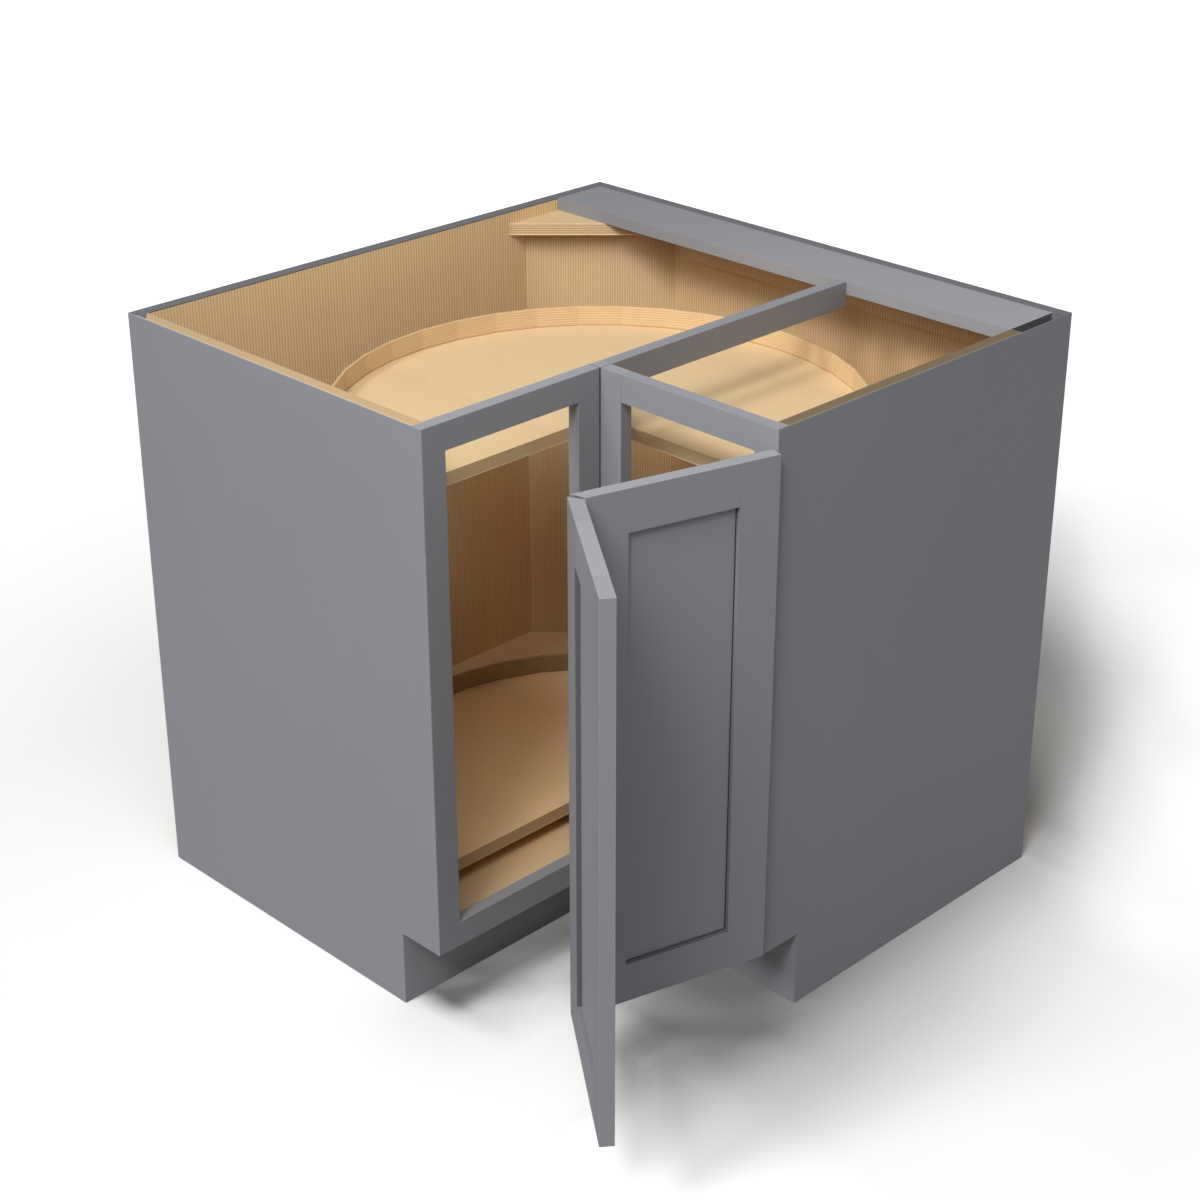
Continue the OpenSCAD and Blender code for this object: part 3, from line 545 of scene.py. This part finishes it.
# painted light: the emission lifts the floor in and round its shadows beyond the right-hand end (far_edge), by the
# doors (near_door), beside the right side (near_side) and in front of the toe kicks (near_toe)
across, deep = tf.math("SUBTRACT", ts[0], ts[1]), tf.math("ADD", ts[0], ts[1])
far_edge = tf.mix(
    1.0, tf.ramp(tf.math("MULTIPLY", across, 0.5), [(0.565, 0.0), (0.60, 0.18), (0.65, 0.66), (0.72, 1.0)]),
    tf.ramp(tf.math("MULTIPLY", tf.math("ADD", deep, 1.1), 0.5), [(0.0, 0.0), (0.10, 0.16), (0.25, 0.34), (0.45, 0.37), (0.67, 0.14), (0.85, 0.0)]), "MULTIPLY")
near_door = tf.mix(1.0, tf.ramp(minus_x, [(0.74, 0.0), (0.85, 0.10), (0.95, 0.18)]), tf.ramp(minus_y, [(0.88, 0.0), (0.93, 1.0)]), "MULTIPLY")
near_side = tf.mix(
    1.0, tf.ramp(tf.math("ADD", ts[0], 0.20), [(0.06, 0.0), (0.14, 0.07), (0.20, 0.13), (0.32, 0.175), (0.44, 0.165), (0.54, 0.12), (0.62, 0.08), (0.72, 0.02), (0.80, 0.0)]),
    tf.ramp(tf.math("SUBTRACT", side, tf.ramp(ts[0], [(0.06, 0.0), (0.15, 0.035), (0.25, 0.05), (0.40, 0.065)])), [(0.03, 0.0), (0.07, 0.45), (0.10, 0.80), (0.13, 1.0), (0.20, 1.0), (0.26, 0.6), (0.36, 0.2), (0.45, 0.0)]), "MULTIPLY")
near_toe = tf.mix(
    1.0, tf.mix(1.0, tf.ramp(minus_x, [(0.51, 0.0), (0.53, 0.14), (0.65, 0.13), (0.77, 0.11), (0.81, 0.08), (0.84, 0.0)]), tf.ramp(minus_y, [(0.51, 0.0), (0.53, 1.0), (0.545, 0.95), (0.56, 0.6), (0.573, 0.1), (0.58, 0.0)]), "MULTIPLY"),
    tf.mix(1.0, tf.ramp(minus_x, [(0.60, 0.0), (0.62, 0.20), (0.66, 0.20), (0.70, 0.17), (0.74, 0.08), (0.76, 0.0)]), tf.ramp(minus_y, [(0.592, 0.0), (0.61, 0.8), (0.63, 1.0), (0.65, 0.65), (0.67, 0.1), (0.68, 0.0)]), "MULTIPLY"), "ADD")
tf.set(
    Base_Color=tf.mix(1.0, tone_f, keep, "MULTIPLY"),
    Roughness=0.9, Emission_Color=tf.mix(1.0, tf.mix(1.0, tf.mix(1.0, glow, far_edge, "ADD"), near_door, "ADD"), tf.mix(1.0, near_toe, near_side, "ADD"), "ADD"),
)
tf.bsdf.inputs["Specular IOR Level"].default_value = 0.0
tf.bsdf.inputs["Emission Strength"].default_value = 1.0
floor = plane("floor", 30.0, -0.0005, tf.mat)

# the floor is there to be seen and to take the shadows; a darker card just under it, that the camera doesn't see, is what
# throws a little light back up at the cabinet
floor.visible_diffuse = floor.visible_glossy = floor.visible_transmission = floor.visible_shadow = False
tcard = Tree("bounce card")
tcard.set(Base_Color=(0.26, 0.26, 0.26, 1.0), Roughness=1.0)
card = plane("bounce_card", 30.0, -0.001, tcard.mat)
card.visible_camera = False

# an even dome of light, a little brighter towards -y
world = bpy.data.worlds.new("world")
world.use_nodes = True
wt = world.node_tree
bg = wt.nodes["Background"]
gen = wt.nodes.new("ShaderNodeTexCoord")
sx = wt.nodes.new("ShaderNodeSeparateXYZ")
wt.links.new(gen.outputs["Generated"], sx.inputs[0])


def wm(op, a, b):
    n = wt.nodes.new("ShaderNodeMath")
    n.operation = op
    for i, v in enumerate((a, b)):
        if isinstance(v, (int, float)):
            n.inputs[i].default_value = v
        else:
            wt.links.new(v, n.inputs[i])
    return n.outputs[0]


front_side = wm("MAXIMUM", wm("MULTIPLY", sx.outputs[1], -1.0), 0.0)
dome = wm("ADD", wm("MULTIPLY", wm("POWER", front_side, 2.0), 0.25), 0.256)
wt.links.new(wm("MULTIPLY", dome, wm("GREATER_THAN", sx.outputs[2], 0.0)), bg.inputs["Strength"])
bg.inputs["Color"].default_value = (1.0, 1.0, 1.0, 1.0)
bpy.context.scene.world = world
bpy.context.scene.view_settings.view_transform = "Standard"
bpy.context.scene.view_settings.look = "None"


def sun(name, toward, strength, angle, color=(1, 1, 1)):
    """A very soft far light that comes from the direction toward."""
    d = bpy.data.lights.new(name, "SUN")
    d.energy = strength
    d.angle = math.radians(angle)
    d.color = color
    o = bpy.data.objects.new(name, d)
    bpy.context.scene.collection.objects.link(o)
    o.rotation_euler = Vector(toward).to_track_quat("Z", "Y").to_euler()
    return o


def area(name, loc, target, power, size, color=(1, 1, 1)):
    d = bpy.data.lights.new(name, "AREA")
    d.energy = power
    d.shape = "RECTANGLE"
    d.size = size[0]
    d.size_y = size[1]
    d.color = color
    o = bpy.data.objects.new(name, d)
    bpy.context.scene.collection.objects.link(o)
    o.location = loc
    o.rotation_euler = (Vector(target) - Vector(loc)).to_track_quat("-Z", "Y").to_euler()
    return o


sun("key", (-0.90, 0.17, 1.0), 0.41 * math.pi, 16.0)
sun("second", (-0.80, -0.35, 1.0), 0.338 * math.pi, 16.0)
area("over", (-1.35, -1.0, 2.35), (-0.5, -0.5, 0.7), 14.5, (1.1, 1.1))
area("front", (-2.6, -1.7, 2.6), (-0.5, -0.5, 0.7), 14.3, (1.1, 1.1))

# ------------------------------------------------------------------ camera
cam_d = bpy.data.cameras.new("camera")
cam_d.lens = 70.0
cam_d.sensor_width = 36.0
cam_d.sensor_fit = "HORIZONTAL"
cam_d.dof.use_dof = False
cam = bpy.data.objects.new("camera", cam_d)
bpy.context.scene.collection.objects.link(cam)
cam.location = (-2.60949, -2.60949, 1.92342)
cam.rotation_euler = (math.radians(63.9918), 0.0, math.radians(-45.0))
bpy.context.scene.camera = cam
